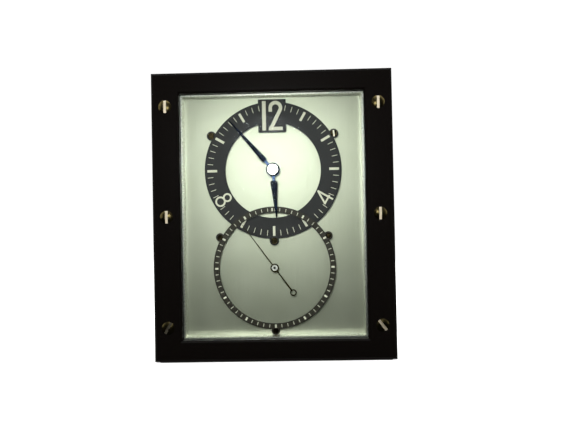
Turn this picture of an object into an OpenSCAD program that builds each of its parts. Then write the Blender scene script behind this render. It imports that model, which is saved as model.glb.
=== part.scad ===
// Table clock: a glazed rectangular case, a dial with overlapping hour and seconds rings,
// and a two-plate spring movement with a balance behind the dial.
// X runs to the right, Y to the rear and Z up; the origin is the middle of the felt's underside.
// A place in the plane of the dial is written [x, z].

/* [Case] */
// Width of the front frame
case_w = 206; // [200:1:260]
// Height of the clock, felt included
case_h = 248; // [244:1:310]
// Depth of the case panels behind the front frame
case_depth = 70; // [69:1:110]
// Width of the front frame's side bars
side_bar = 24; // [22:1:26]
// Height of the front frame's top and bottom bars
cross_bar = 18; // [16:1:20]
// Thickness of the front frame
frame_t = 10; // [9:0.5:14]
// Chamfer round the outside of the front frame
outer_chamfer = 2; // [0.5:0.5:3]
// Chamfer round the frame's opening
inner_chamfer = 1.5; // [0.5:0.5:2]
// How far the front frame's bars reach in past the case panels
bar_lap = 6; // [5.5:0.1:7]
// Thickness of the felt under the base
felt_t = 1; // [0.5:0.5:3]
// Distance of the upper and lower frame screws from the middle one
screw_pitch = 94.5; // [80:0.5:100]
// Radius of the frame screws' heads
frame_screw_head_r = 5.5; // [4.5:0.1:6]
// Radius of the frame screws' shanks
frame_screw_r = 3; // [2.5:0.1:3.2]
// Length of the inserts that take the frame screws
insert_l = 12; // [8:1:20]

/* [Glass and reveal] */
// How far the glass laps behind the frame
glass_lap = 2; // [1.5:0.1:2.5]
// Depth of the front glass behind the front face
glass_recess = 5; // [4.5:0.5:6]
// Thickness of the front glass
glass_t = 3; // [2:0.5:3]
// Thickness of the gasket behind the glass
gasket_t = 0.5; // [0.3:0.1:1]
// How far the reveal shows inside the frame's opening
reveal_show = 1.3; // [0.5:0.1:2]
// Thickness of the reveal's fixing flange
flange_t = 2; // [1:0.5:3]
// Depth of the dial behind the front face
dial_recess = 20.5; // [20:0.5:26]
// Thickness of the dial plate
dial_t = 2; // [1:0.5:3]

/* [Rear door] */
// Thickness of the rear door
door_t = 5; // [4:0.5:8]
// Width of the rear door's bars
door_bar = 22; // [15:1:30]
// Thickness of the rear glass
door_glass_t = 2; // [1:0.5:3]
// Height of each hinge
hinge_h = 30; // [20:1:50]
// Distance of each hinge from mid height
hinge_reach = 80; // [40:1:90]
// Radius of the hinge knuckles
knuckle_r = 2.2; // [1.8:0.1:2.4]
// Radius of the hinge pins
hinge_pin_r = 1.1; // [0.8:0.1:1.3]
// Thickness of the hinge leaves
leaf_t = 1.2; // [1:0.1:1.3]
// Radius of the door's knob
door_knob_r = 5; // [3:0.5:8]

/* [Hour ring] */
// Height of the hour ring's centre above mid height
hour_up = 39.8; // [38:0.1:41]
// Outer radius of the hour ring
hour_ring_r = 60; // [57:0.5:62]
// Radial width of the hour ring
hour_ring_w = 18.2; // [16:0.1:20]
// Width of the plaque that holds the number 12
plaque_w = 24.4; // [22:0.1:26]
// How far the plaque stands out above the hour ring
plaque_out = 2.1; // [1:0.1:3]
// Height of the number 12
twelve_h = 25.8; // [20:0.1:27]
// Height of the numbers 4 and 8
numeral_h = 15.4; // [12:0.1:16]
// Length of the hour batons
baton_l = 8.5; // [6:0.1:9]
// Width of the hour batons
baton_w = 2.1; // [1:0.1:3]
// How far the lugs' centres stand out from the hour ring
hour_lug_out = 1.9; // [1:0.1:3]
// Radius of each lug on the hour ring
hour_lug_r = 4.1; // [3.5:0.1:4.5]

/* [Seconds ring] */
// Depth of the seconds ring's centre below mid height
seconds_down = 45.6; // [44:0.1:47]
// Outer radius of the seconds ring
seconds_ring_r = 53.4; // [52:0.1:55]
// Radial width of the seconds ring
seconds_ring_w = 5.2; // [4:0.1:6]
// How far the lugs' centres stand out from the seconds ring
seconds_lug_out = 1.1; // [0.5:0.1:1.5]
// Radius of each lug on the seconds ring
seconds_lug_r = 3.7; // [3.3:0.1:4]

/* [Hands] */
// Clock angle of the hour hand
hour_angle = 176.61; // [0:0.01:360]
// Clock angle of the minute hand
minute_angle = 319.3; // [0:0.1:360]
// Clock angle of the seconds hand
seconds_angle = 324; // [0:6:354]
// Length of the hour hand
hour_hand_l = 42; // [35:0.5:46]
// Length of the minute hand
minute_hand_l = 57; // [45:0.5:58]
// Length of the seconds hand
seconds_hand_l = 46.5; // [40:0.5:47.5]
// Radius of the bosses at the middle of the hands
boss_r = 5.6; // [5.2:0.1:7]

/* [Movement] */
// Width of the movement plates
plate_w = 160; // [158:1:164]
// Height of the movement plates
plate_h = 184; // [182:1:190]
// Thickness of the movement plates
plate_t = 3; // [2.5:0.1:4]
// Gap between the movement plates
plate_gap = 24; // [24:0.5:28]
// Gap between the dial and the front plate
motion_gap = 9; // [9:0.5:12]
// Radius of the pillars between the plates
pillar_r = 3.5; // [3:0.1:4]
// Radial clearance of a shaft in its hole
run_fit = 0.05; // [0.03:0.01:0.08]
// Radial clearance of a part that is fixed on its shaft
seat_fit = 0.02; // [0.01:0.01:0.04]

/* [Winding] */
// Teeth of the great wheel on the spring barrel
great_teeth = 64; // [60:1:66]
// Radius of the spring barrel's drum
drum_r = 31; // [28:0.5:32]
// Radius of the winding arbor
winding_r = 3; // [2.5:0.1:3.5]
// Teeth of the ratchet wheel
ratchet_teeth = 36; // [24:12:48]
// Outer radius of the ratchet wheel
ratchet_r = 13; // [11:0.5:14]

/* [Escapement] */
// Radius of the escape wheel at its tooth tips
escape_r = 6; // [5.5:0.1:6]
// Outer radius of the balance rim
balance_r = 14; // [12:0.5:14.5]
// Turns of the hairspring
hairspring_turns = 7; // [4:1:9]

/* [Hidden] */
$fn = 96;

// Colours
lacquer = [0.09, 0.08, 0.07];
champagne = [0.72, 0.7, 0.62];
cream = [0.93, 0.9, 0.8];
gilt = [0.8, 0.62, 0.3];
brass = [0.75, 0.6, 0.3];
steel = [0.62, 0.63, 0.65];
blued = [0.1, 0.13, 0.25];

// Heights and depths of the case
mid_z = felt_t + (case_h - felt_t) / 2;
front_y = -(frame_t + case_depth) / 2;
frame_back = front_y + frame_t;
case_back = frame_back + case_depth;
opening_w = case_w - 2 * side_bar;
opening_h = case_h - felt_t - 2 * cross_bar;
side_t = side_bar - bar_lap;
panel_t = cross_bar - bar_lap;
slip = 0.3;
flange_clear = 0.5;
flange_w = bar_lap - glass_lap - flange_clear;
glass_w = opening_w + 2 * glass_lap;
glass_h = opening_h + 2 * glass_lap;
glass_front = front_y + glass_recess;
glass_back = glass_front + glass_t;
reveal_front = glass_back + gasket_t;
reveal_w = opening_w - 2 * reveal_show;
reveal_h = opening_h - 2 * reveal_show;
reveal_wall = glass_lap + reveal_show;
dial_y = front_y + dial_recess;
dial_back = dial_y + dial_t;
frame_screw_x = case_w / 2 - side_bar / 2;
insert_r = frame_screw_r + 1;
small_screw_r = 1;
small_screw_l = 4;
small_head_r = 1.6;
small_head_t = 1.2;
turn_clear = 0.3;
door_front = case_back + turn_clear;
door_back = door_front + door_t;
door_lap = 3;
door_glass_w = case_w - 2 * door_bar + 2 * door_lap;
door_glass_h = case_h - felt_t - 2 * door_bar + 2 * door_lap;
door_glass_back = door_front + door_glass_t + 0.2;
hinge_c = [case_w / 2 + knuckle_r + 0.3, case_back + turn_clear / 2];
hinge_gap = 0.1;

// Heights above the dial
hour_ring_h = [2.4, 3.6];
seconds_ring_h = [4.4, 5.4];
marking_t = 0.3;
seconds_hand_h = [6, 6.4];
seconds_boss_h = 7;
hour_hand_h = [7.2, 7.8];
minute_hand_h = [8.8, 9.4];
cap_h = 11.2;
hour_ring_in = hour_ring_r - hour_ring_w;
hour_lug_at = hour_ring_r + hour_lug_out;
seconds_ring_in = seconds_ring_r - seconds_ring_w;
seconds_lug_at = seconds_ring_r + seconds_lug_out;
plaque_margin = 1.55;
plaque_span = [hour_ring_r + plaque_out - twelve_h - 2 * plaque_margin, hour_ring_r + plaque_out];
hour_screw_r = 1.5;
seconds_screw_r = 1.2;
ring_head_t = 1.1;
spacer_r = 2.6;
spacer_stud_r = 1.8;
lug_angles = [-60, 60, 180];

// Places of the wheels, as [x, z]
hour_c = [0, mid_z + hour_up];
seconds_c = [0, mid_z - seconds_down];
axis_gap = hour_c[1] - seconds_c[1];
train_slack = 1.015;
first_share = 0.53;
centre_to_third = axis_gap * train_slack * first_share;
third_to_seconds = axis_gap * train_slack * (1 - first_share);
third_drop = (axis_gap ^ 2 + centre_to_third ^ 2 - third_to_seconds ^ 2) / (2 * axis_gap);
third_c = hour_c - [sqrt(centre_to_third ^ 2 - third_drop ^ 2), third_drop];
centre_teeth = 96;
third_pinion_teeth = 12;
third_teeth = 90;
seconds_pinion_teeth = 12;
centre_module = 2 * centre_to_third / (centre_teeth + third_pinion_teeth);
third_module = 2 * third_to_seconds / (third_teeth + seconds_pinion_teeth);
seconds_teeth = 100;
escape_pinion_teeth = 10;
seconds_module = 0.5;
escape_c = seconds_c + spread(seconds_module, seconds_teeth, escape_pinion_teeth) * way(20);
intermediate_teeth = 96;
centre_pinion_teeth = 16;
intermediate_module = 0.8;
barrel_c = hour_c + 47 * way(-28);
great_module = 1.1;
intermediate_pinion_teeth = 16;
intermediate_c = crossing(hour_c, spread(intermediate_module, intermediate_teeth, centre_pinion_teeth),
    barrel_c, spread(great_module, great_teeth, intermediate_pinion_teeth));
cannon_teeth = 14;
minute_wheel_teeth = 42;
motion_module = 0.75;
minute_pinion_teeth = 12;
hour_wheel_teeth = 48;
hour_module = 0.7;
minute_wheel_c = hour_c + spread(motion_module, minute_wheel_teeth, cannon_teeth) * way(180);

// Escapement, in the plane behind the back plate
escape_teeth = 15;
escape_line = 10;
pallet_half_span = 30;
pallet_c = escape_c + escape_r / cos(pallet_half_span) * way(escape_line);
balance_to_pallet = 11;
balance_c = pallet_c + balance_to_pallet * way(escape_line);
impulse_circle = 2.6;
impulse_pin_r = 0.35;
stone_gap = 0.42;
hairspring_r = 5;
stud_way = 100;

// Depths of the movement
plate_front = dial_back + motion_gap;
inner_y = plate_front + plate_t;
plate_rear = inner_y + plate_gap;
rear_y = plate_rear + plate_t;
plate_up = 11.5;
plate_corner = 8;
plate_c = [0, mid_z + plate_up];
pillar_x = plate_w / 2 - 7;
pillar_z = plate_h / 2 - 6;
pillar_c = concat([for (x = [-1, 1], z = [-1, 1]) plate_c + [x * pillar_x, z * pillar_z]],
    [plate_c - [pillar_x, 0]]);
dial_pillar_c = [for (x = [-1, 1], k = [-76, 79]) [x * (plate_w / 2 - 20), plate_c[1] + k]];
movement_screw_r = 1.5;
movement_head_r = 2.8;
movement_head_t = 1.6;
slot_share = 0.45;

// Arbors
seconds_arbor_r = 1.2;
third_arbor_r = 1.5;
intermediate_arbor_r = 2;
centre_arbor_r = 2;
centre_pipe_r = 3.4;
escape_arbor_r = 1.2;
pallet_arbor_r = 0.5;
balance_pivot_r = 0.5;
balance_staff_r = 1.2;
minute_post_r = 1.2;
cannon_pipe_r = 3.1;
hour_pipe_in = 3.2;
hour_pipe_out = 4.5;

// Levels between the plates, from the front plate's inner face
centre_level = [2, 3.6];
third_pinion_level = [1.4, 4.2];
third_level = [18, 19.5];
seconds_level = [6, 7.2];
escape_pinion_level = [5.4, 7.8];
intermediate_level = [18, 19.5];
centre_pinion_level = [17.2, 20.3];
great_level = [14, 16.5];
intermediate_pinion_level = [13.4, 17.1];
drum_level = [4.8, 14];
drum_wall = 1.5;
cap_t = 0.8;
click_post_r = 1.3;
click_l = 13;
click_spring_post_r = 1;

// Levels behind the back plate, from its outer face
ratchet_level = [0.6, 2.2];
escape_level = [1.2, 1.8];
roller_level = [2.2, 2.8];
pallet_cock_level = [3.2, 4.4];
balance_level = [6, 8];
hairspring_level = [9, 9.6];
balance_cock_level = [11, 13.5];
index_level = [13.5, 14.2];
setting_knob_level = [4, 12];
winding_end = 15;

// Gear teeth
pressure = 20;
play = 0.14;
wheel_addendum = 0.7;
wheel_dedendum = 1.25;
pinion_addendum = 1;
pinion_dedendum = 0.95;

function way(a) = [cos(a), sin(a)];
function spread(m, z1, z2) = m * (z1 + z2) / 2;
function bearing(p, q) = atan2(q[1] - p[1], q[0] - p[0]);
function crossing(p, r1, q, r2) =
    let (d = norm(q - p), a = (d ^ 2 + r1 ^ 2 - r2 ^ 2) / (2 * d))
    p + r1 * way(bearing(p, q) + acos(a / r1));
function involute(a) = tan(a) - a * PI / 180;
function half_tooth(m, z, r) =
    90 / z + (involute(pressure) - involute(acos(min(1, m * z * cos(pressure) / 2 / r)))
    - play / (2 * m * z)) * 180 / PI;
function flank(m, z, add, ded) =
    let (tip = m * (z / 2 + add), root = m * (z / 2 - ded), base = m * z * cos(pressure) / 2)
    root < base ? [root, base, (base + tip) / 2, tip]
    : [root, (2 * root + tip) / 3, (root + 2 * tip) / 3, tip];
function spiral(r1, r2, turns, steps, w) =
    let (n = turns * steps)
    concat([for (i = [0:n]) (r1 + (r2 - r1) * i / n - w / 2) * way(360 * i / steps)],
        [for (i = [n:-1:0]) (r1 + (r2 - r1) * i / n + w / 2) * way(360 * i / steps)]);
function side(p, i) =
    let (a = p[max(0, i - 1)], b = p[min(len(p) - 1, i + 1)])
    [a[1] - b[1], b[0] - a[0]] / norm(b - a);
function ribbon(p, w) =
    concat([for (i = [0:len(p) - 1]) p[i] + side(p, i) * w / 2],
        [for (i = [len(p) - 1:-1:0]) p[i] - side(p, i) * w / 2]);

// Placing: each draws its 2D children as seen from the front, between two depths
module slab(c, y1, y2) {
    translate([c[0], y2, c[1]]) rotate([90, 0, 0]) linear_extrude(y2 - y1) children();
}
module above(c, h) {
    slab(c, dial_y - h[1], dial_y - h[0]) children();
}
module motion(c, h) {
    slab(c, plate_front - h[1], plate_front - h[0]) children();
}
module level(c, l) {
    slab(c, inner_y + l[0], inner_y + l[1]) children();
}
module behind(c, l) {
    slab(c, rear_y + l[0], rear_y + l[1]) children();
}
module rod(c, y1, y2, r) {
    slab(c, y1, y2) circle(r = r);
}
module facing_front(c, y) {
    translate([c[0], y, c[1]]) rotate([90, 0, 0]) children();
}
module facing_rear(c, y) {
    translate([c[0], y, c[1]]) rotate([-90, 0, 0]) children();
}
module block(x, y, z) {
    translate([x[0], y[0], z[0]]) cube([x[1] - x[0], y[1] - y[0], z[1] - z[0]]);
}
module centred_block(w, y, h) {
    block([-w / 2, w / 2], y, [mid_z - h / 2, mid_z + h / 2]);
}

// Shapes that repeat
module annulus(r_out, r_in) {
    difference() {
        circle(r = r_out);
        circle(r = r_in);
    }
}
module round_rect(w, h, r) {
    square([w - 2 * r, h], center = true);
    square([w, h - 2 * r], center = true);
    for (x = [-1, 1], y = [-1, 1]) translate([x * (w / 2 - r), y * (h / 2 - r)]) circle(r = r);
}
module gear(m, z, add, ded, turn) {
    radii = flank(m, z, add, ded);
    polygon([for (i = [0:z - 1], k = [0:7])
        let (r = radii[k < 4 ? k : 7 - k])
        r * way(turn + 360 * i / z + (k < 4 ? -1 : 1) * half_tooth(m, z, r))]);
}
module pinion(m, z, turn) {
    gear(m, z, pinion_addendum, pinion_dedendum, turn + 180 / z);
}
module wheel(m, z, turn, add = wheel_addendum, hub = 6, rim = 2.5, arms = 5, arm_w = 4) {
    web_r = m * (z / 2 - wheel_dedendum) - rim;
    difference() {
        gear(m, z, add, wheel_dedendum, turn);
        difference() {
            annulus(web_r, hub);
            for (i = [1:arms]) rotate(i * 360 / arms) translate([0, -arm_w / 2]) square([web_r + 1, arm_w]);
        }
    }
}
module cheese_screw(head_r, head_t, shank_r, shank_l, turn) {
    slot_w = head_r * 0.45;
    slot_d = head_t * slot_share;
    difference() {
        union() {
            cylinder(r = head_r, h = head_t);
            translate([0, 0, -shank_l]) cylinder(r = shank_r, h = shank_l + head_t / 4);
        }
        rotate(turn) translate([-head_r - 1, -slot_w / 2, head_t - slot_d])
            cube([2 * head_r + 2, slot_w, slot_d + 1]);
    }
}
module chamfered_slab(w, y1, y2, h, c) {
    hull() {
        centred_block(w, [y1 + c, y2], h);
        centred_block(w - 2 * c, [y1, y2], h - 2 * c);
    }
}

// Case
module at_frame_screws() {
    for (x = [-1, 1], k = [-1:1]) facing_front([x * frame_screw_x, mid_z + k * screw_pitch], front_y)
        rotate(x > 0 && k < 0 ? 127 : x < 0 && k < 0 ? 60 : 90) children();
}
module base_felt() {
    margin = 3;
    color("dimgray") block([margin - case_w / 2, case_w / 2 - margin], [front_y + margin, case_back - margin],
        [0, felt_t]);
}
module bottom_panel() {
    color(lacquer) block([side_t - case_w / 2, case_w / 2 - side_t], [frame_back, case_back],
        [felt_t, felt_t + panel_t]);
}
module top_panel() {
    color(lacquer) block([side_t - case_w / 2, case_w / 2 - side_t], [frame_back, case_back],
        [case_h - panel_t, case_h]);
}
module side_panel(s) {
    difference() {
        block(s > 0 ? [case_w / 2 - side_t, case_w / 2] : [-case_w / 2, side_t - case_w / 2],
            [frame_back, case_back], [felt_t, case_h]);
        for (k = [-1:1]) rod([s * frame_screw_x, mid_z + k * screw_pitch], frame_back - 1,
            frame_back + insert_l + 1, insert_r + run_fit);
    }
}
module side_panel_left() {
    color(lacquer) side_panel(-1);
}
module side_panel_right() {
    color(lacquer) side_panel(1);
}
module front_frame() {
    color(lacquer) difference() {
        chamfered_slab(case_w, front_y, frame_back, case_h - felt_t, outer_chamfer);
        centred_block(opening_w, [front_y - 1, frame_back + 1], opening_h);
        hull() {
            centred_block(opening_w + 2 * inner_chamfer + 2, [front_y - 1, front_y - 0.9],
                opening_h + 2 * inner_chamfer + 2);
            centred_block(opening_w, [front_y + inner_chamfer, front_y + inner_chamfer + 0.1], opening_h);
        }
        centred_block(glass_w + 2 * slip, [glass_front, frame_back + 1], glass_h + 2 * slip);
        at_frame_screws() {
            translate([0, 0, -frame_t - 1]) cylinder(r = frame_screw_r + run_fit, h = frame_t + 2);
            translate([0, 0, frame_screw_r - frame_screw_head_r])
                cylinder(r1 = frame_screw_r + run_fit, r2 = frame_screw_head_r + run_fit,
                    h = frame_screw_head_r - frame_screw_r);
            cylinder(r = frame_screw_head_r + run_fit, h = 2);
        }
        for (s = [-1, 1], p = reveal_screw_places()) facing_rear([s * p[0], mid_z + p[1]],
            frame_back - small_screw_l) cylinder(r = small_screw_r + seat_fit, h = small_screw_l + 1);
    }
}
module threaded_inserts() {
    color(brass) for (x = [-1, 1], k = [-1:1])
        slab([x * frame_screw_x, mid_z + k * screw_pitch], frame_back, frame_back + insert_l)
            annulus(insert_r, frame_screw_r + seat_fit);
}
module frame_screws() {
    dome_h = 1;
    dome_r = (frame_screw_head_r ^ 2 + dome_h ^ 2) / (2 * dome_h);
    dome_a = asin(frame_screw_head_r / dome_r);
    steps = 6;
    slot_w = 2.3;
    slot_d = 1.2;
    color(gilt) at_frame_screws() difference() {
        rotate_extrude() polygon(concat(
            [for (i = [0:steps]) dome_r * [sin(dome_a * i / steps), cos(dome_a * i / steps)]
                - [0, dome_r - dome_h]],
            [[frame_screw_r, frame_screw_r - frame_screw_head_r], [frame_screw_r, 1 - frame_t - insert_l],
                [0, 1 - frame_t - insert_l]]));
        translate([-frame_screw_head_r, -slot_w / 2, dome_h - slot_d])
            cube([2 * frame_screw_head_r, slot_w, slot_d + 1]);
    }
}

// Glass, reveal and dial
function reveal_screw_places() =
    [for (k = [-0.33, 0, 0.33]) [glass_w / 2 + slip + small_head_r, k * glass_h]];
module front_glass() {
    color("lightcyan", 0.25) centred_block(glass_w, [glass_front, glass_back], glass_h);
}
module glass_gasket() {
    color("black") difference() {
        centred_block(glass_w, [glass_back, reveal_front], glass_h);
        centred_block(opening_w, [glass_back - 1, reveal_front + 1], opening_h);
    }
}
module reveal_frame() {
    color("silver") difference() {
        union() {
            centred_block(glass_w, [reveal_front, dial_y], glass_h);
            centred_block(glass_w + 2 * flange_w, [frame_back, frame_back + flange_t], glass_h + 2 * flange_w);
        }
        centred_block(reveal_w, [reveal_front - 1, dial_y + 1], reveal_h);
        for (s = [-1, 1], p = reveal_screw_places())
            rod([s * p[0], mid_z + p[1]], frame_back - 1, frame_back + flange_t + 1, small_screw_r + run_fit);
        for (c = dial_screw_places())
            rod(c, dial_y - small_screw_l - 1, dial_y + 1, small_screw_r + seat_fit);
    }
}
function dial_screw_places() =
    [for (x = [-1, 1], k = [-0.44, -0.145, 0.145, 0.44]) [x * (reveal_w / 2 + reveal_wall / 2),
        mid_z + k * glass_h]];
module reveal_screws() {
    color(steel) {
        for (s = [-1, 1], p = reveal_screw_places())
            facing_rear([s * p[0], mid_z + p[1]], frame_back + flange_t)
                cheese_screw(small_head_r, small_head_t, small_screw_r, small_screw_l + flange_t - 1, 30 * p[1]);
        for (c = dial_screw_places()) facing_rear(c, dial_back)
            cheese_screw(small_head_r, small_head_t, small_screw_r, small_screw_l + dial_t, 20 * c[1]);
    }
}
module dial_plate() {
    color(champagne) difference() {
        centred_block(glass_w, [dial_y, dial_back], glass_h);
        rod(hour_c, dial_y - 1, dial_back + 1, hour_pipe_out + 0.4);
        rod(seconds_c, dial_y - 1, dial_back + 1, seconds_arbor_r + 0.4);
        for (c = dial_screw_places()) rod(c, dial_y - 1, dial_back + 1, small_screw_r + run_fit);
        for (c = ring_places()) rod(c, dial_y - 1, dial_back + 1, spacer_stud_r + seat_fit);
    }
}
module dial_pillars() {
    pillar = 3;
    color(brass) for (c = dial_pillar_c) slab(c, dial_back, plate_front)
        annulus(pillar, movement_screw_r + seat_fit);
}

// Rings on the dial
function hour_lugs() = [for (a = lug_angles) hour_c + hour_lug_at * way(90 - a)];
function seconds_lugs() = [for (a = lug_angles) seconds_c + seconds_lug_at * way(90 - a)];
function ring_places() = concat(hour_lugs(), seconds_lugs());
module ring_spacers() {
    color(brass) for (i = [0:5]) {
        c = ring_places()[i];
        top = i < 3 ? hour_ring_h[0] : seconds_ring_h[0];
        bore = (i < 3 ? hour_screw_r : seconds_screw_r) + seat_fit;
        slab(c, dial_y - top, dial_y) annulus(spacer_r, bore);
        slab(c, dial_y, dial_back) annulus(spacer_stud_r, bore);
    }
}
module lugged_ring(r_out, r_in, lug_at, lug_r, hole_r) {
    difference() {
        union() {
            circle(r = r_out);
            for (a = lug_angles) translate(lug_at * way(90 - a)) circle(r = lug_r);
            children();
        }
        circle(r = r_in);
        for (a = lug_angles) translate(lug_at * way(90 - a)) circle(r = hole_r);
    }
}
module hour_ring() {
    color(lacquer) above(hour_c, hour_ring_h) {
        lugged_ring(hour_ring_r, hour_ring_in, hour_lug_at, hour_lug_r, hour_screw_r + run_fit);
        translate([-plaque_w / 2, plaque_span[0]]) square([plaque_w, plaque_span[1] - plaque_span[0]]);
    }
}
module seconds_ring() {
    color(lacquer) above(seconds_c, seconds_ring_h)
        lugged_ring(seconds_ring_r, seconds_ring_in, seconds_lug_at, seconds_lug_r,
            seconds_screw_r + run_fit);
}
module ring_screws() {
    hour_head_r = 2.75;
    seconds_head_r = 2.4;
    turns = [20, 95, 60, 100, 35, 75];
    color(gilt) for (i = [0:5]) facing_front(ring_places()[i],
        dial_y - (i < 3 ? hour_ring_h[1] : seconds_ring_h[1]))
        cheese_screw(i < 3 ? hour_head_r : seconds_head_r, ring_head_t, i < 3 ? hour_screw_r : seconds_screw_r,
            i < 3 ? 5 : 6, turns[i]);
}

// Markings
module digit_one(h, w) {
    translate([-w / 2, -h / 2]) square([w, h]);
}
module digit_two(h, w, bold) {
    r = (w - bold) / 2;
    bow = [0, h / 2 - w / 2];
    start = bow - [r, w * 0.28];
    foot = [(bold - w) / 2 + 0.3, (bold - h) / 2];
    polygon(ribbon(concat([start], [for (a = [180:-10:-35]) bow + r * way(a)], [foot]), bold));
    translate([-w / 2, -h / 2]) square([w, bold]);
}
module digit_four(h, w, bold) {
    stem_x = w / 2 - bold * 1.6;
    bar_y = -h / 2 + h * 0.24;
    translate([stem_x, -h / 2]) square([bold, h]);
    translate([-w / 2, bar_y]) square([w, bold]);
    polygon(ribbon([[stem_x + bold * 0.45, h / 2 - bold * 0.25], [-w / 2 + bold * 0.5, bar_y + bold * 0.5]],
        bold));
}
module digit_eight(h, bold) {
    top_share = 0.46;
    top_r = (h + bold) / 2 * top_share;
    low_r = (h + bold) / 2 - top_r;
    translate([0, h / 2 - top_r]) annulus(top_r, top_r - bold);
    translate([0, low_r - h / 2]) annulus(low_r, low_r - bold);
}
module hour_markers() {
    h = [hour_ring_h[1], hour_ring_h[1] + marking_t];
    marks_end = hour_ring_r - 2.4;
    tick_l = 4.8;
    tick_w = 0.45;
    numeral_at = (hour_ring_r + hour_ring_in) / 2 - 0.3;
    color(cream) {
        above(hour_c, h) for (i = [1:11]) if (i % 4 != 0)
            rotate(-30 * i) translate([-baton_w / 2, marks_end - baton_l]) square([baton_w, baton_l]);
        above(hour_c, h) for (i = [2:58]) if (i % 5 != 0)
            rotate(-6 * i) translate([-tick_w / 2, marks_end - tick_l]) square([tick_w, tick_l]);
        above(hour_c + [0, (plaque_span[0] + plaque_span[1]) / 2], h) {
            translate([-7.05, 0]) digit_one(twelve_h, 3.2);
            translate([3.08, 0]) digit_two(twelve_h, 12, 3);
        }
        above(hour_c + numeral_at * way(-30), h) rotate(60) digit_four(numeral_h, 9, 1.5);
        above(hour_c + numeral_at * way(210), h) rotate(-60) digit_eight(numeral_h, 1.5);
    }
}
module seconds_markers() {
    h = [seconds_ring_h[1], seconds_ring_h[1] + marking_t];
    mark_at = seconds_ring_in + 1;
    mark_l = seconds_ring_w - 2.4;
    thin = 0.5;
    bold = 1.5;
    color(cream) above(seconds_c, h) {
        for (i = [1:59]) rotate(-6 * i) let (w = i % 5 == 0 ? bold : thin)
            translate([-w / 2, mark_at]) square([w, mark_l]);
        for (s = [-1, 1]) translate([s * 1.4 - bold / 2, mark_at]) square([bold, mark_l]);
    }
}

// Hands
module roofed_blade(neck_w, neck_r, base_w, base_r, tip_w, tip_r, edge_t, roof_t) {
    translate([-neck_w / 2, 0]) cube([neck_w, neck_r + 0.5, edge_t]);
    hull() {
        linear_extrude(edge_t / 2) polygon([[-neck_w / 2, neck_r], [-base_w / 2, base_r], [-tip_w / 2, tip_r],
            [tip_w / 2, tip_r], [base_w / 2, base_r], [neck_w / 2, neck_r]]);
        translate([-0.05, base_r - 0.5]) cube([0.1, tip_r - base_r, roof_t]);
    }
}
module hour_hand() {
    t = hour_hand_h[1] - hour_hand_h[0];
    color(blued) facing_front(hour_c, dial_y - hour_hand_h[0]) rotate(-hour_angle) difference() {
        union() {
            cylinder(r = boss_r + 0.4, h = t);
            roofed_blade(2.3, 9.2, 6.3, 10.5, 0.9, hour_hand_l, t * 0.7, t);
        }
        translate([0, 0, -1]) cylinder(r = hour_pipe_in, h = t + 2);
    }
}
module minute_hand() {
    t = minute_hand_h[1] - minute_hand_h[0];
    color(blued) facing_front(hour_c, dial_y - minute_hand_h[0]) rotate(-minute_angle) difference() {
        union() {
            cylinder(r = boss_r, h = t);
            roofed_blade(2.2, 9.6, 5, 11, 0.8, minute_hand_l, t * 0.7, t);
        }
        translate([0, 0, -1]) cylinder(r = centre_arbor_r + seat_fit, h = t + 2);
    }
}
module seconds_hand() {
    tail_at = 26.9;
    tail_r = 2.9;
    tail_in = 1.9;
    boss = 3.75;
    blade_w = 1.3;
    tip_w = 0.5;
    color("saddlebrown") facing_front(seconds_c, dial_y - seconds_hand_h[0]) rotate(-seconds_angle)
        difference() {
            union() {
                linear_extrude(seconds_hand_h[1] - seconds_hand_h[0]) {
                    polygon([[-blade_w / 2, tail_r - tail_at], [-tip_w / 2, seconds_hand_l],
                        [tip_w / 2, seconds_hand_l], [blade_w / 2, tail_r - tail_at]]);
                    translate([0, -tail_at]) annulus(tail_r, tail_in);
                }
                cylinder(r = boss, h = seconds_boss_h - seconds_hand_h[0]);
            }
            translate([0, 0, -1]) cylinder(r = seconds_arbor_r + seat_fit, h = 3);
        }
}
module hand_cap() {
    inside = 1.1;
    color(blued) facing_front(hour_c, dial_y - minute_hand_h[1]) difference() {
        rotate_extrude() polygon([[0, 0], [boss_r, 0], [boss_r, 0.9], [boss_r - 0.7, cap_h - minute_hand_h[1]],
            [0, cap_h - minute_hand_h[1]]]);
        translate([0, 0, -1]) cylinder(r = centre_arbor_r + seat_fit, h = 1 + inside);
    }
}

// Movement frame
module plate_outline() {
    translate([0, plate_c[1]]) round_rect(plate_w, plate_h, plate_corner);
}
module plate_windows() {
    window_w = 24;
    window_h = 56;
    window_corner = 6;
    window_x = -0.29 * plate_w;
    for (z = [-62, 31]) translate([window_x, mid_z + plate_up + z])
        round_rect(window_w, window_h, window_corner);
    translate([window_x + window_w + 6, mid_z - 72]) round_rect(window_w * 0.8, 20, 5);
}
module hole(c, r) {
    translate(c) circle(r = r);
}
module shared_holes() {
    hole(third_c, third_arbor_r + run_fit);
    hole(intermediate_c, intermediate_arbor_r + run_fit);
    hole(hour_c, centre_arbor_r + run_fit);
    hole(seconds_c, seconds_arbor_r + run_fit);
    hole(escape_c, escape_arbor_r + run_fit);
    hole(barrel_c, winding_r + run_fit);
    for (c = pillar_c) hole(c, movement_screw_r + run_fit);
}
module front_plate() {
    color(brass) slab([0, 0], plate_front, inner_y) difference() {
        plate_outline();
        plate_windows();
        shared_holes();
        for (c = dial_pillar_c) hole(c, movement_screw_r + run_fit);
        hole(minute_wheel_c, minute_post_r + seat_fit);
    }
}
module back_plate() {
    color(brass) slab([0, 0], plate_rear, rear_y) difference() {
        plate_outline();
        plate_windows();
        shared_holes();
        hole(pallet_c, pallet_arbor_r + run_fit);
        hole(balance_c, balance_pivot_r + run_fit);
        hole(pallet_foot_c(), movement_screw_r + seat_fit);
        hole(balance_foot_c(), movement_screw_r + seat_fit);
        hole(click_c(), click_post_r + run_fit);
        hole(click_spring_c(), click_spring_post_r + seat_fit);
    }
}
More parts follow.
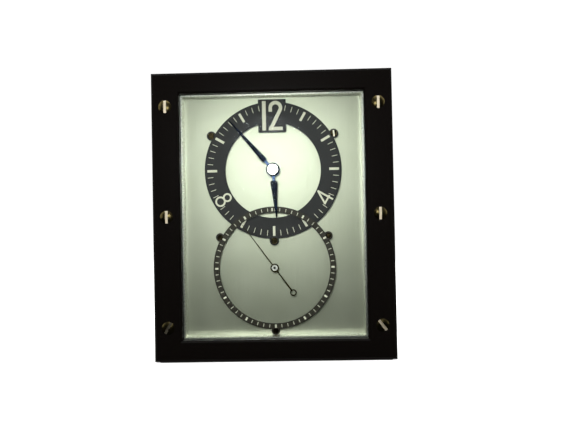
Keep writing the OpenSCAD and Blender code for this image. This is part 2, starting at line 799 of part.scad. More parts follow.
module plate_pillars() {
    screw_depth = 7;
    color(brass) for (c = pillar_c) difference() {
        rod(c, inner_y, plate_rear, pillar_r);
        rod(c, inner_y - 1, inner_y + screw_depth, movement_screw_r + seat_fit);
        rod(c, plate_rear - screw_depth, plate_rear + 1, movement_screw_r + seat_fit);
    }
}
module movement_screw(l, turn) {
    cheese_screw(movement_head_r, movement_head_t, movement_screw_r, l, turn);
}
module movement_screws() {
    bite = 5;
    color(steel) {
        for (c = pillar_c) {
            facing_front(c, plate_front) movement_screw(plate_t + bite, 17 * c[0]);
            facing_rear(c, rear_y) movement_screw(plate_t + bite, 23 * c[1]);
        }
        for (c = dial_pillar_c) facing_rear(c, inner_y) movement_screw(plate_t + bite, c[1]);
        facing_rear(pallet_foot_c(), rear_y + pallet_cock_level[1])
            cheese_screw(2.4, 1.2, movement_screw_r, pallet_cock_level[1] + 2.5, 40);
        facing_rear(balance_foot_c(), rear_y + balance_cock_level[1])
            movement_screw(balance_cock_level[1] + 2.5, 70);
    }
}
module minute_wheel_post() {
    clip = [6.2, 7];
    color(steel) {
        rod(minute_wheel_c, plate_front - clip[1], inner_y - 0.2, minute_post_r);
        motion(minute_wheel_c, clip) circle(r = 2.4);
    }
}

// Mainspring barrel and winding
barrel_turn = bearing(barrel_c, intermediate_c);
module barrel_drum() {
    color(brass) difference() {
        union() {
            level(barrel_c, drum_level) circle(r = drum_r);
            level(barrel_c, great_level) gear(great_module, great_teeth, wheel_addendum, wheel_dedendum,
                barrel_turn);
        }
        level(barrel_c, [drum_level[0] - 1, drum_level[1]]) circle(r = drum_r - drum_wall);
        level(barrel_c, [drum_level[1] - 1, great_level[1] + 1]) circle(r = winding_r + run_fit);
    }
}
module barrel_cap() {
    color(brass) level(barrel_c, [drum_level[0], drum_level[0] + cap_t])
        annulus(drum_r - drum_wall - seat_fit, winding_r + run_fit);
}
module mainspring() {
    color("slategray") level(barrel_c, [drum_level[0] + cap_t + 0.3, drum_level[1] - 0.3])
        polygon(spiral(winding_r + 0.5, drum_r - drum_wall - 0.5, 14, 24, 0.5));
}
module winding_arbor() {
    square_side = winding_r * 1.35;
    color(steel) {
        rod(barrel_c, plate_front, rear_y + ratchet_level[1], winding_r);
        behind(barrel_c, [ratchet_level[1], winding_end]) square(square_side, center = true);
    }
}
function click_c() = barrel_c + [ratchet_r + 1.5, 1 - click_l];
function click_spring_c() = click_c() + [4.5, -6];
module ratchet_wheel() {
    ratchet_depth = 1.3;
    face_share = 0.12;
    color(steel) behind(barrel_c, ratchet_level) difference() {
        polygon([for (i = [0:ratchet_teeth - 1], k = [0:1])
            (ratchet_r - k * ratchet_depth) * way(-(i + k * face_share) * 360 / ratchet_teeth)]);
        circle(r = winding_r + seat_fit);
    }
}
module click() {
    color(steel) {
        rod(click_c(), plate_rear + 0.2, rear_y + ratchet_level[1] + 0.8, click_post_r);
        behind(click_c(), ratchet_level) {
            circle(r = 2.6);
            polygon([[-2, 0.5], [2.6, 0], [2.2, 7], [0.6, click_l - 1.2], [-1.9, click_l - 1.6],
                [-0.6, click_l - 4], [-1.2, 5]]);
        }
    }
}
module click_spring() {
    spring_bend = 0.0166;
    color(steel) {
        rod(click_spring_c(), plate_rear + 0.2, rear_y + ratchet_level[1], click_spring_post_r);
        behind(click_spring_c(), ratchet_level) {
            circle(r = 1.9);
            polygon(ribbon([for (y = [0:2.4:14.4]) [1.1 - spring_bend * y ^ 2, y]], 0.4));
        }
    }
}

// Going train
module intermediate_wheel() {
    color(brass) {
        level(intermediate_c, intermediate_level) wheel(intermediate_module, intermediate_teeth,
            bearing(intermediate_c, hour_c));
        level(intermediate_c, intermediate_pinion_level) pinion(great_module, intermediate_pinion_teeth,
            bearing(intermediate_c, barrel_c));
        rod(intermediate_c, plate_front, rear_y, intermediate_arbor_r);
    }
}
module centre_wheel() {
    pipe_level = [0.6, 22];
    color(brass) difference() {
        union() {
            level(hour_c, centre_level) wheel(centre_module, centre_teeth, bearing(hour_c, third_c));
            level(hour_c, centre_pinion_level) pinion(intermediate_module, centre_pinion_teeth,
                bearing(hour_c, intermediate_c));
            level(hour_c, pipe_level) circle(r = centre_pipe_r);
        }
        level(hour_c, [0, plate_gap]) circle(r = centre_arbor_r + run_fit);
    }
}
module third_wheel() {
    color(brass) {
        level(third_c, third_level) wheel(third_module, third_teeth, bearing(third_c, seconds_c));
        level(third_c, third_pinion_level) pinion(centre_module, third_pinion_teeth, bearing(third_c, hour_c));
        rod(third_c, plate_front, rear_y, third_arbor_r);
    }
}
module seconds_wheel() {
    pinion_level = [third_level[0] - 0.6, third_level[1] + 0.6];
    color(brass) {
        level(seconds_c, seconds_level) wheel(seconds_module, seconds_teeth, bearing(seconds_c, escape_c),
            add = 0.6, hub = 4, rim = 1.6, arm_w = 2.5);
        level(seconds_c, pinion_level) pinion(third_module, seconds_pinion_teeth, bearing(seconds_c, third_c));
        rod(seconds_c, dial_y - seconds_hand_h[0] - 0.8, rear_y, seconds_arbor_r);
    }
}
module escape_wheel() {
    tip_lead = 6;
    tooth_root = escape_r - 1.5;
    color(brass) {
        level(escape_c, escape_pinion_level) pinion(seconds_module, escape_pinion_teeth,
            bearing(escape_c, seconds_c));
        rod(escape_c, plate_front, rear_y + pallet_cock_level[1], escape_arbor_r);
        behind(escape_c, escape_level) {
            difference() {
                polygon([for (i = [0:escape_teeth - 1], k = [0:3]) let (a = i * 360 / escape_teeth)
                    k == 0 ? tooth_root * way(a) : k == 1 ? (escape_r - 0.15) * way(a + tip_lead)
                    : k == 2 ? escape_r * way(a + tip_lead + 5) : tooth_root * way(a + tip_lead + 4)]);
                difference() {
                    circle(r = tooth_root - 0.8);
                    circle(r = 2);
                    for (i = [0:3]) rotate(i * 90) translate([0, -0.35]) square([escape_r, 0.7]);
                }
            }
        }
    }
}

// Centre arbor and motion work
module centre_arbor() {
    color(steel) rod(hour_c, dial_y - minute_hand_h[1] - 1, rear_y + setting_knob_level[1] - 2, centre_arbor_r);
}
module setting_knob() {
    knob_r = 7;
    grip_r = 0.9;
    grips = 24;
    color(brass) difference() {
        behind(hour_c, setting_knob_level) difference() {
            circle(r = knob_r);
            for (i = [1:grips]) rotate(i * 360 / grips) translate([knob_r + 0.4, 0]) circle(r = grip_r);
        }
        behind(hour_c, [setting_knob_level[0] - 1, setting_knob_level[1] - 2])
            circle(r = centre_arbor_r + seat_fit);
    }
}
module cannon_pinion() {
    teeth_h = [1, 3.1];
    pipe_top = motion_gap + dial_t + minute_hand_h[0];
    color(steel) difference() {
        union() {
            motion(hour_c, teeth_h) pinion(motion_module, cannon_teeth, bearing(hour_c, minute_wheel_c));
            motion(hour_c, [0.3, teeth_h[0]]) circle(r = 4);
            motion(hour_c, [teeth_h[0], pipe_top]) circle(r = cannon_pipe_r);
        }
        motion(hour_c, [0, pipe_top + 1]) circle(r = centre_arbor_r + seat_fit);
    }
}
module hour_wheel() {
    wheel_h = [4, 5.2];
    pipe_top = motion_gap + dial_t + hour_hand_h[0];
    color(brass) difference() {
        union() {
            motion(hour_c, wheel_h) wheel(hour_module, hour_wheel_teeth, bearing(hour_c, minute_wheel_c),
                hub = 6.5, rim = 2, arms = 4, arm_w = 3);
            motion(hour_c, [wheel_h[0], pipe_top]) circle(r = hour_pipe_out);
        }
        motion(hour_c, [wheel_h[0] - 1, pipe_top + 1]) circle(r = hour_pipe_in);
    }
}
module hour_washer() {
    color(brass) motion(hour_c, [3.4, 3.8]) annulus(7, cannon_pipe_r + run_fit);
}
module minute_wheel() {
    color(brass) difference() {
        union() {
            motion(minute_wheel_c, [1.4, 2.6]) wheel(motion_module, minute_wheel_teeth,
                bearing(minute_wheel_c, hour_c), hub = 5, rim = 2, arms = 4, arm_w = 3);
            motion(minute_wheel_c, [2.6, 6]) pinion(hour_module, minute_pinion_teeth,
                bearing(minute_wheel_c, hour_c));
        }
        motion(minute_wheel_c, [0, motion_gap]) circle(r = minute_post_r + run_fit);
    }
}
module minute_wheel_washer() {
    color(brass) motion(minute_wheel_c, [0.5, 1.1]) annulus(4, minute_post_r + run_fit);
}

// Escapement and balance
function pallet_foot_c() = escape_c - (escape_r + 5) * way(escape_line);
function balance_foot_c() = balance_c + (balance_r + 5.5) * way(escape_line);
module pallet_lever() {
    hub_r = 0.8;
    bow = [6.95, 8];
    bow_half = 34;
    fork_l = 7.93;
    fork_w = 1;
    horn = 1.4;
    color(steel) {
        behind(escape_c, escape_level) rotate(escape_line) {
            polygon(concat([for (a = [-bow_half:4:bow_half]) bow[0] * way(a)],
                [for (a = [bow_half:-4:-bow_half]) bow[1] * way(a)]));
            for (s = [-1, 1]) rotate(s * pallet_half_span)
                translate([escape_r + stone_gap, -0.3]) square([bow[0] - escape_r, 0.6]);
        }
        behind(pallet_c, escape_level) rotate(escape_line) difference() {
            union() {
                circle(r = hub_r);
                translate([0.3, -fork_w / 2]) square([fork_l - 0.3, fork_w]);
                translate([fork_l - horn, -1.1]) square([horn, 2.2]);
            }
            translate([fork_l - horn * 0.8, -0.45]) square([horn, 0.9]);
        }
        rod(pallet_c, plate_rear + 0.2, rear_y + pallet_cock_level[1], pallet_arbor_r);
    }
}
module pallet_cock() {
    foot_r = 3;
    arm_w = 4.4;
    reach = norm(pallet_c - pallet_foot_c());
    color(brass) difference() {
        union() {
            behind(pallet_foot_c(), [0, pallet_cock_level[1]]) circle(r = foot_r);
            behind(pallet_foot_c(), pallet_cock_level) rotate(escape_line) {
                translate([0, -arm_w / 2]) square([reach, arm_w]);
                translate([reach, 0]) circle(r = arm_w / 2);
            }
        }
        behind(pallet_foot_c(), [-1, 9]) circle(r = movement_screw_r + run_fit);
        behind(escape_c, [1, 9]) circle(r = escape_arbor_r + run_fit);
        behind(pallet_c, [1, 9]) circle(r = pallet_arbor_r + run_fit);
    }
}
module balance_staff() {
    roller_r = 3.3;
    color(steel) {
        rod(balance_c, plate_rear + 0.2, rear_y + balance_cock_level[1], balance_pivot_r);
        rod(balance_c, rear_y + 0.4, rear_y + balance_cock_level[0] - 0.4, balance_staff_r);
        behind(balance_c, roller_level) circle(r = roller_r);
        behind(balance_c - impulse_circle * way(escape_line), [escape_level[0] - 0.2, roller_level[0] + 0.1])
            circle(r = impulse_pin_r);
    }
}
module balance_wheel() {
    rim_w = 1.6;
    color(gilt) {
        behind(balance_c, balance_level) {
            annulus(balance_r, balance_r - rim_w);
            annulus(2.6, balance_staff_r + seat_fit);
            for (a = [0:120:240]) rotate(a + 40) translate([2.2, -0.8]) square([balance_r - rim_w - 2, 1.6]);
        }
    }
}
module hairspring() {
    strip = 0.15;
    color(blued) {
        behind(balance_c, hairspring_level) {
            annulus(1.75, balance_staff_r + seat_fit);
            rotate(stud_way) polygon(spiral(1.8, hairspring_r, hairspring_turns, 24, strip));
        }
    }
}
module balance_cock() {
    foot_r = 4;
    head_r = 6.4;
    arm_w = 7;
    boss_r = 1.6;
    reach = norm(balance_c - balance_foot_c());
    stud_c = balance_c + (hairspring_r + 0.65) * way(stud_way);
    color(brass) difference() {
        union() {
            behind(balance_foot_c(), [0, balance_cock_level[1]]) circle(r = foot_r);
            behind(balance_c, balance_cock_level) rotate(escape_line) {
                translate([0, -arm_w / 2]) square([reach, arm_w]);
                circle(r = head_r);
            }
            behind(balance_c, [balance_cock_level[1] - 0.5, index_level[1]]) circle(r = boss_r);
            behind(stud_c, [hairspring_level[0] - 0.2, balance_cock_level[0] + 0.5]) circle(r = 0.5);
        }
        behind(balance_foot_c(), [-1, 20]) circle(r = movement_screw_r + run_fit);
        behind(balance_c, [balance_cock_level[0] - 1, 20]) circle(r = balance_pivot_r + run_fit);
    }
}
module regulator_index() {
    ring_r = 2.8;
    pointer_l = 11;
    pointer_way = 190;
    color(steel) behind(balance_c, index_level) difference() {
        union() {
            circle(r = ring_r);
            rotate(pointer_way) polygon([[0, -0.8], [pointer_l, -0.2], [pointer_l, 0.2], [0, 0.8]]);
        }
        circle(r = 1.6 + run_fit);
    }
}

// Rear door
module door_frame() {
    outer_h = case_h - felt_t;
    color(lacquer) difference() {
        centred_block(case_w, [door_front, door_back], outer_h);
        centred_block(case_w - 2 * door_bar, [door_front - 1, door_back + 1], outer_h - 2 * door_bar);
        centred_block(door_glass_w + 2 * slip, [door_front - 1, door_glass_back], door_glass_h + 2 * slip);
    }
}
module door_glass() {
    color("lightcyan", 0.25) centred_block(door_glass_w, [door_glass_back - door_glass_t, door_glass_back],
        door_glass_h);
}
module knuckle(z1, z2, r) {
    translate([hinge_c[0], hinge_c[1], z1]) cylinder(r = r, h = z2 - z1);
}
module hinge_case_leaves() {
    leaf_y = case_back - 12;
    leaf_x = [case_w / 2, case_w / 2 + leaf_t];
    color(brass) for (s = [-1, 1]) {
        z = mid_z + s * hinge_reach - hinge_h / 2;
        block(leaf_x, [leaf_y, hinge_c[1] - knuckle_r - turn_clear], [z, z + hinge_h]);
        for (k = [0, 2]) {
            block(leaf_x, [leaf_y, hinge_c[1]], [z + k * hinge_h / 3, z + (k + 1) * hinge_h / 3]);
            knuckle(z + k * hinge_h / 3, z + (k + 1) * hinge_h / 3, knuckle_r);
        }
        knuckle(z, z + hinge_h, hinge_pin_r);
    }
}
module hinge_door_leaves() {
    leaf_x = [case_w / 2, case_w / 2 + leaf_t];
    leaf_end = door_back - 0.3;
    color(brass) for (s = [-1, 1]) {
        z = mid_z + s * hinge_reach - hinge_h / 2;
        low = z + hinge_h / 3 + hinge_gap;
        high = z + 2 * hinge_h / 3 - hinge_gap;
        block(leaf_x, [hinge_c[1] + knuckle_r + turn_clear, leaf_end], [z, z + hinge_h]);
        difference() {
            union() {
                knuckle(low, high, knuckle_r);
                block(leaf_x, [hinge_c[1], leaf_end], [low, high]);
            }
            knuckle(low - 1, high + 1, hinge_pin_r + run_fit);
        }
    }
}
module door_knob() {
    neck = 3;
    head = 5;
    color(brass) facing_rear([door_bar / 2 - case_w / 2, mid_z], door_back) {
        cylinder(r = door_knob_r * 0.5, h = neck + 0.5);
        translate([0, 0, neck]) cylinder(r = door_knob_r, h = head);
    }
}

base_felt();
bottom_panel();
top_panel();
side_panel_left();
side_panel_right();
front_frame();
threaded_inserts();
frame_screws();
front_glass();
glass_gasket();
reveal_frame();
reveal_screws();
dial_plate();
dial_pillars();
ring_spacers();
hour_ring();
hour_markers();
seconds_ring();
seconds_markers();
ring_screws();
front_plate();
back_plate();
plate_pillars();
movement_screws();
minute_wheel_post();
barrel_drum();
barrel_cap();
mainspring();
winding_arbor();
ratchet_wheel();
click();
click_spring();
intermediate_wheel();
centre_wheel();
third_wheel();
seconds_wheel();
seconds_hand();
centre_arbor();
cannon_pinion();
minute_hand();
hand_cap();
setting_knob();
hour_wheel();
hour_hand();
hour_washer();
minute_wheel();
minute_wheel_washer();
escape_wheel();
pallet_lever();
pallet_cock();
balance_staff();
balance_wheel();
hairspring();
balance_cock();
regulator_index();
door_frame();
door_glass();
hinge_case_leaves();
hinge_door_leaves();
door_knob();
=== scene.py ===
"""Table clock with overlapping hour and seconds rings: every piece's finish, the studio and the camera."""

import math
import random

import bmesh
import bpy
from mathutils import Matrix, Vector


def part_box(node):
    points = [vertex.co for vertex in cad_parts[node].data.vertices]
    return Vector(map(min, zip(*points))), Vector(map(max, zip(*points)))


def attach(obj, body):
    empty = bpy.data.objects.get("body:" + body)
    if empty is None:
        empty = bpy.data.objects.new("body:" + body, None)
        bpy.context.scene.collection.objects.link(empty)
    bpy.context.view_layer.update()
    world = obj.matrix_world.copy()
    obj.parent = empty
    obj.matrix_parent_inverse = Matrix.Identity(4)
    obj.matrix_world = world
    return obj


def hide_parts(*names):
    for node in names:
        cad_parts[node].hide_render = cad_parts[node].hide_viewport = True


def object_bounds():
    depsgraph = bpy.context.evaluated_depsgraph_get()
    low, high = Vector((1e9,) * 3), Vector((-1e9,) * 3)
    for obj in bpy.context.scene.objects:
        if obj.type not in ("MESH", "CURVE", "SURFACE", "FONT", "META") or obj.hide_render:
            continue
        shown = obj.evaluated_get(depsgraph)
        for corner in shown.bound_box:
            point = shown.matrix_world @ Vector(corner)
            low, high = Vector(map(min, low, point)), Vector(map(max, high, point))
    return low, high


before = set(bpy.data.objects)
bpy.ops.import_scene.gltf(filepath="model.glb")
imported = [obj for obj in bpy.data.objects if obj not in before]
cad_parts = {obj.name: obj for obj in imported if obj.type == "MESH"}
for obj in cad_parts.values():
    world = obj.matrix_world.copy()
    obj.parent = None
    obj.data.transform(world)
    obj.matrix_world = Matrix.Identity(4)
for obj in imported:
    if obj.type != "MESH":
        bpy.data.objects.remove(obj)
cad_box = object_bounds()
MM = 0.001


# Felt under the base
# A sheet of dyed wool felt, cut with a knife and glued under the bottom panel.
# Its cut edge is a little rounded and ragged, and its face is matted fibre.
def linear(hex_colour):
    """An sRGB hex colour as linear RGBA."""
    parts = [int(hex_colour[i : i + 2], 16) / 255 for i in (1, 3, 5)]
    return [c / 12.92 if c <= 0.04045 else ((c + 0.055) / 1.055) ** 2.4 for c in parts] + [1]


def add(tree, kind, sockets=None, **settings):
    """Adds a shader node, with its settings, and each socket set to a value or linked to an output."""
    made = tree.nodes.new("ShaderNode" + kind)
    for name, value in settings.items():
        setattr(made, name, value)
    for name, value in (sockets or {}).items():
        if isinstance(value, bpy.types.NodeSocket):
            tree.links.new(value, made.inputs[name])
        else:
            made.inputs[name].default_value = value
    return made


def start_finish(name, **sockets):
    """A new finish: its material, its node tree and its Principled shader, with those sockets set."""
    finish = bpy.data.materials.new(name)
    finish.use_nodes = True
    shader = finish.node_tree.nodes["Principled BSDF"]
    for socket, value in sockets.items():
        shader.inputs[socket.replace("_", " ")].default_value = value
    return finish, finish.node_tree, shader


def follow(tree, shader, pattern, dark, light, gloss, height_mm=0):
    """Makes a finish's colour, roughness and height follow a pattern centred on 0.5."""
    tone = add(tree, "MapRange", {"Value": pattern, "From Min": 0.3, "From Max": 0.7}).outputs[0]
    colour = add(tree, "Mix", {"Factor": tone, 6: linear(dark), 7: linear(light)}, data_type="RGBA")
    tree.links.new(colour.outputs[2], shader.inputs["Base Color"])
    roughness = add(tree, "MapRange", {"Value": tone, "To Min": gloss[0], "To Max": gloss[1]})
    tree.links.new(roughness.outputs[0], shader.inputs["Roughness"])
    if height_mm:
        raised = add(tree, "Bump", {"Height": tone, "Distance": height_mm * MM, "Strength": 0.3})
        tree.links.new(raised.outputs[0], shader.inputs["Normal"])
    return colour.outputs[2], roughness.outputs[0]


def grained(name, dark, light, grain_mm, gloss, height_mm=0, **sockets):
    """A finish with one grain, of that size along x, y and z in millimetres, fixed to the piece."""
    finish, tree, shader = start_finish(name, **sockets)
    place = add(tree, "TexCoord").outputs["Object"]
    scaled = add(tree, "Mapping", {"Vector": place, "Scale": [1 / (mm * MM) for mm in grain_mm]})
    grain = add(tree, "TexNoise", {"Vector": scaled.outputs[0], "Scale": 1, "Detail": 4, "Roughness": 0.6})
    follow(tree, shader, grain.outputs["Fac"], dark, light, gloss, height_mm)
    return finish


felt_lo, felt_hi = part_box("base_felt")
felt_corner = 3 * MM
felt_steps = 12
felt_edge_step = 2.5 * MM
random.seed(7)


def felt_outline(inset):
    """Points round the felt's edge, that far in, with the corners rounded."""
    points = []
    for k, (sx, sy) in enumerate(((1, 1), (-1, 1), (-1, -1), (1, -1))):
        corner_x = (felt_hi.x if sx > 0 else felt_lo.x) - sx * felt_corner
        corner_y = (felt_hi.y if sy > 0 else felt_lo.y) - sy * felt_corner
        for i in range(felt_steps + 1):
            a = math.radians(90 * k + 90 * i / felt_steps)
            reach = felt_corner - inset
            points.append((corner_x + reach * math.cos(a), corner_y + reach * math.sin(a)))
    whole = []
    for a, b in zip(points, points[1:] + points[:1]):
        parts = max(1, round(math.dist(a, b) / felt_edge_step))
        for i in range(parts):
            whole.append((a[0] + (b[0] - a[0]) * i / parts, a[1] + (b[1] - a[1]) * i / parts))
    return whole


felt_rings = []
felt_mesh = bmesh.new()
felt_t = felt_hi.z - felt_lo.z
# Each ring of the edge, from the top down: how far in it lies in millimetres, and its share of the thickness.
felt_profile = ((0.9, 1), (0.3, 0.95), (0.12, 0.6), (0.15, 0.3), (0.5, 0.04), (1.2, 0))
felt_raggedness = 0.1 * MM
for inset, height in felt_profile:
    felt_ring = []
    for x, y in felt_outline(inset * MM):
        ragged = felt_raggedness * random.random() if 0 < height < 1 else 0
        toward = Vector((-x, -y)).normalized() * ragged
        felt_ring.append(felt_mesh.verts.new((x + toward.x, y + toward.y, felt_lo.z + height * felt_t)))
    felt_rings.append(felt_ring)
for upper, lower in zip(felt_rings, felt_rings[1:]):
    for i in range(len(upper)):
        j = (i + 1) % len(upper)
        felt_mesh.faces.new((upper[i], upper[j], lower[j], lower[i]))
felt_mesh.faces.new(felt_rings[0])
felt_mesh.faces.new(list(reversed(felt_rings[-1])))
bmesh.ops.recalc_face_normals(felt_mesh, faces=felt_mesh.faces)
bmesh.ops.triangulate(felt_mesh, faces=[f for f in felt_mesh.faces if len(f.verts) > 4])
felt_data = bpy.data.meshes.new("felt_sheet")
felt_mesh.to_mesh(felt_data)
felt_mesh.free()
felt = bpy.data.objects.new("felt_sheet", felt_data)
bpy.context.scene.collection.objects.link(felt)

# Wool felt: matted fibres give a soft, uneven black-brown with a pale fuzz at grazing angles.
wool_felt = grained(
    "wool_felt", "#0f0d0c", "#2a2623", (0.35, 0.35, 0.35), (0.9, 1), 0.2,
    Sheen_Weight=0.4, Sheen_Roughness=0.6,
)
felt_data.materials.append(wool_felt)
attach(felt, "case")
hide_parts("base_felt")


# Case panels, front frame and door frame
# Panels of fine-grained board, mitred and glued, sprayed with black-brown lacquer and rubbed satin.
# The front frame is screwed to the side panels, and every outer edge is eased by hand before spraying.
def dress(material, *names):
    """Gives CAD nodes that material."""
    for name in names:
        for material_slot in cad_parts[name].material_slots:
            material_slot.material = material


def ease_edges(width_mm, *names):
    """Rounds the sharp edges of CAD nodes by that width, as a maker does with a file."""
    for name in names:
        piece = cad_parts[name]
        piece.modifiers.new("close_seams", "WELD").merge_threshold = 0.001 * MM
        eased = piece.modifiers.new("eased_edges", "BEVEL")
        eased.width = width_mm * MM
        eased.segments = 2
        eased.limit_method = "ANGLE"
        eased.angle_limit = math.radians(35)
        eased.harden_normals = False
        piece.modifiers.new("even_shading", "WEIGHTED_NORMAL").keep_sharp = False


# Rubbed black lacquer: near black and warm, with a weak wide sheen broken by a faint orange-peel ripple.
# Rubbing it down takes the mirror off, so it reflects less than a sprayed gloss does.
black_lacquer = grained(
    "rubbed_black_lacquer", "#060403", "#080605", (1.6, 1.6, 1.6), (0.28, 0.34), 0.01,
    IOR=1.5, Specular_IOR_Level=0.05,
)
side_nodes = ("side_panel_left", "side_panel_right", "door_frame")
end_nodes = ("front_frame", "top_panel", "bottom_panel")
dress(black_lacquer, *side_nodes, *end_nodes)
ease_edges(0.5, *side_nodes)
ease_edges(0.3, *end_nodes)


# Frame screws and their inserts
# Raised countersunk screws turned from brass, polished and lightly gilt, in threaded brass inserts.
# The slot floors carry a painted highlight, a pale cream colour where they would catch the lamp, mostly left
# off the lower left screw.
# Browned gilt brass: a dark olive-gold mirror on the dome, and a painted highlight of pale, rough colour on
# the slot floors.
slot_floor_roughness = 0.42


def slotted_brass(name, dome_dark, dome_light, slot_highlight_colour, slot_at):
    """Polished brass, with a painted highlight on the slot floor where slot_at(tree, y) gives 1 for a point's
    place along Y.
    """
    finish, tree, shader = start_finish(name, Metallic=1)
    place = add(tree, "TexCoord").outputs["Object"]
    scaled = add(tree, "Mapping", {"Vector": place, "Scale": (1 / (2 * MM),) * 3})
    tarnish = add(tree, "TexNoise", {"Vector": scaled.outputs[0], "Scale": 1, "Detail": 4}).outputs["Fac"]
    colour, roughness = follow(tree, shader, tarnish, dome_dark, dome_light, (0.16, 0.26), 0.01)
    # The slot floors get a pale colour that stands in for the lamp's reflection: a painted highlight.
    lit_slot = slot_at(tree, add(tree, "SeparateXYZ", {0: place}).outputs["Y"])
    slot_highlight = add(tree, "Mix", {"Factor": lit_slot, 6: colour, 7: linear(slot_highlight_colour)}, data_type="RGBA")
    tree.links.new(slot_highlight.outputs[2], shader.inputs["Base Color"])
    dulled = add(tree, "Mix", {"Factor": lit_slot, 2: roughness, 3: slot_floor_roughness})
    tree.links.new(dulled.outputs[0], shader.inputs["Roughness"])
    return finish


def behind_frame_face(tree, y):
    """1 behind the frame's front face, where only the slot floors of the frame screws can be seen and the
    painted highlight goes; 0.4 in the lower left screw.
    """
    frame_lo, frame_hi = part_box("front_frame")
    just_behind = frame_lo.y + 0.05 * MM
    behind = add(tree, "Math", {0: y, 1: just_behind}, operation="GREATER_THAN").outputs[0]
    # The painted slot highlight is mostly left off the screw at the lower left, and the other five get it in
    # full.
    dim_slot_share = 0.6
    spot = add(tree, "SeparateXYZ", {0: add(tree, "TexCoord").outputs["Object"]})
    middle_x, quarter_z = (frame_lo.x + frame_hi.x) / 2, (3 * frame_lo.z + frame_hi.z) / 4
    left = add(tree, "Math", {0: spot.outputs["X"], 1: middle_x}, operation="LESS_THAN").outputs[0]
    low = add(tree, "Math", {0: spot.outputs["Z"], 1: quarter_z}, operation="LESS_THAN").outputs[0]
    corner = add(tree, "Math", {0: left, 1: low}, operation="MULTIPLY").outputs[0]
    dim_slot = add(tree, "Math", {0: corner, 1: dim_slot_share}, operation="MULTIPLY").outputs[0]
    return add(tree, "Math", {0: behind, 1: dim_slot}, operation="SUBTRACT", use_clamp=True).outputs[0]


# faeed2 is the painted highlight in the frame screws' slots.
gilt_brass = slotted_brass("browned_gilt_brass", "#38311a", "#585034", "#faeed2", behind_frame_face)
dress(gilt_brass, "frame_screws")

# Turned brass: paler yellow, with fine tool marks.
turned_brass = grained("turned_brass", "#a8843f", "#c9a45c", (3, 0.3, 3), (0.24, 0.36), 0.01, Metallic=1)
dress(
    turned_brass, "threaded_inserts", "dial_pillars", "ring_spacers", "plate_pillars",
    "setting_knob", "door_knob", "hinge_case_leaves", "hinge_door_leaves",
)


# Front and rear glass, with the front gasket
# Panes of clear mineral glass with a thin anti-reflection coating, bedded on a black rubber gasket.
# The coating leaves only a weak, slightly cool reflection.
coated_glass = bpy.data.materials.new("coated_mineral_glass")
coated_glass.use_nodes = True
tree = coated_glass.node_tree
tree.nodes.remove(tree.nodes["Principled BSDF"])
place = add(tree, "TexCoord").outputs["Object"]
smears = add(tree, "TexNoise", {"Vector": place, "Scale": 1 / (20 * MM), "Detail": 5}).outputs["Fac"]
wiped = add(
    tree, "MapRange", {"Value": smears, "From Min": 0.3, "From Max": 0.7, "To Min": 0.02, "To Max": 0.07}
)
gleam = add(tree, "BsdfGlossy", {"Color": linear("#e6ecf5"), "Roughness": wiped.outputs[0]})
clear = add(tree, "BsdfTransparent", {"Color": linear("#fcfefc")})
# The coating makes the pane reflect as weakly as something of this index would.
coated_index = 1.07
facing = add(tree, "Fresnel", {"IOR": coated_index})
pane = add(tree, "MixShader", {0: facing.outputs["Fac"], 1: clear.outputs[0], 2: gleam.outputs[0]})
tree.links.new(pane.outputs[0], tree.nodes["Material Output"].inputs["Surface"])
dress(coated_glass, "front_glass", "door_glass")

# Black rubber: dull, with a fine moulded skin.
black_rubber = grained("black_rubber", "#0b0b0b", "#191919", (0.6, 0.6, 0.6), (0.7, 0.8), 0.04, IOR=1.52)
dress(black_rubber, "glass_gasket")


# Reveal between the glass and the dial
# A frame of drawn aluminium strip, mitred at the corners and satined, with a flange screwed to the case.
# It catches the dial's light and draws a pale band round it.
satin_aluminium = grained(
    "satin_aluminium", "#d9d9d2", "#f0f0ea", (0.4, 6, 0.4), (0.24, 0.34), 0.01, Metallic=1
)
dress(satin_aluminium, "reveal_frame")
ease_edges(0.3, "reveal_frame")

# Ground steel: cool grey, ground smooth.
ground_steel = grained("ground_steel", "#8f9194", "#b9bbbd", (0.5, 4, 0.5), (0.18, 0.32), 0.01, Metallic=1)
dress(
    ground_steel, "reveal_screws", "movement_screws", "minute_wheel_post", "winding_arbor", "ratchet_wheel",
    "click", "centre_arbor", "cannon_pinion", "pallet_lever", "balance_staff", "regulator_index",
)


# Dial plate
# A brass plate, silvered, brushed straight up and down with fine abrasive, then sealed with lacquer.
# The brushing is far finer than shows, so its lines are drawn 0.5 mm apart and 45 mm long.
# Silvered brass: a satin silver with a faint straw-green cast that flares softly under a near light.
silvered_brass, tree, shader = start_finish("brushed_silvered_brass", Metallic=1)
place = add(tree, "TexCoord").outputs["Object"]
brush_pitch, brush_length, cloud_size = 0.5 * MM, 45 * MM, 35 * MM
brush_scale = (1 / brush_pitch, 1 / brush_pitch, 1 / brush_length)
brushed = add(tree, "Mapping", {"Vector": place, "Scale": brush_scale})
brush_lines = add(tree, "TexNoise", {"Vector": brushed.outputs[0], "Scale": 1, "Detail": 4}).outputs["Fac"]
cloud = add(tree, "TexNoise", {"Vector": place, "Scale": 1 / cloud_size, "Detail": 2}).outputs["Fac"]
tone = add(tree, "Mix", {"Factor": 0.5, 2: brush_lines, 3: cloud}).outputs[0]
follow(tree, shader, tone, "#c1c5b0", "#d0d3c1", (0.37, 0.41), 0.003)
dress(silvered_brass, "dial_plate")


# Hour ring and seconds ring
# Rings milled from brass sheet, blackened, and turned on the face, standing off the dial on brass spacers.
# Three lugs on each ring take a slotted brass screw.
# Blackened brass: satin slate black with fine circular turning about the ring's middle.
def from_middle(tree, middle):
    """How far a point is from the line along Y through that point, in metres."""
    place = add(tree, "TexCoord").outputs["Object"]
    moved = add(tree, "VectorMath", {0: place, 1: middle}, operation="SUBTRACT").outputs[0]
    flat = add(tree, "VectorMath", {0: moved, 1: (1, 0, 1)}, operation="MULTIPLY").outputs[0]
    return add(tree, "VectorMath", {0: flat}, operation="LENGTH").outputs["Value"]


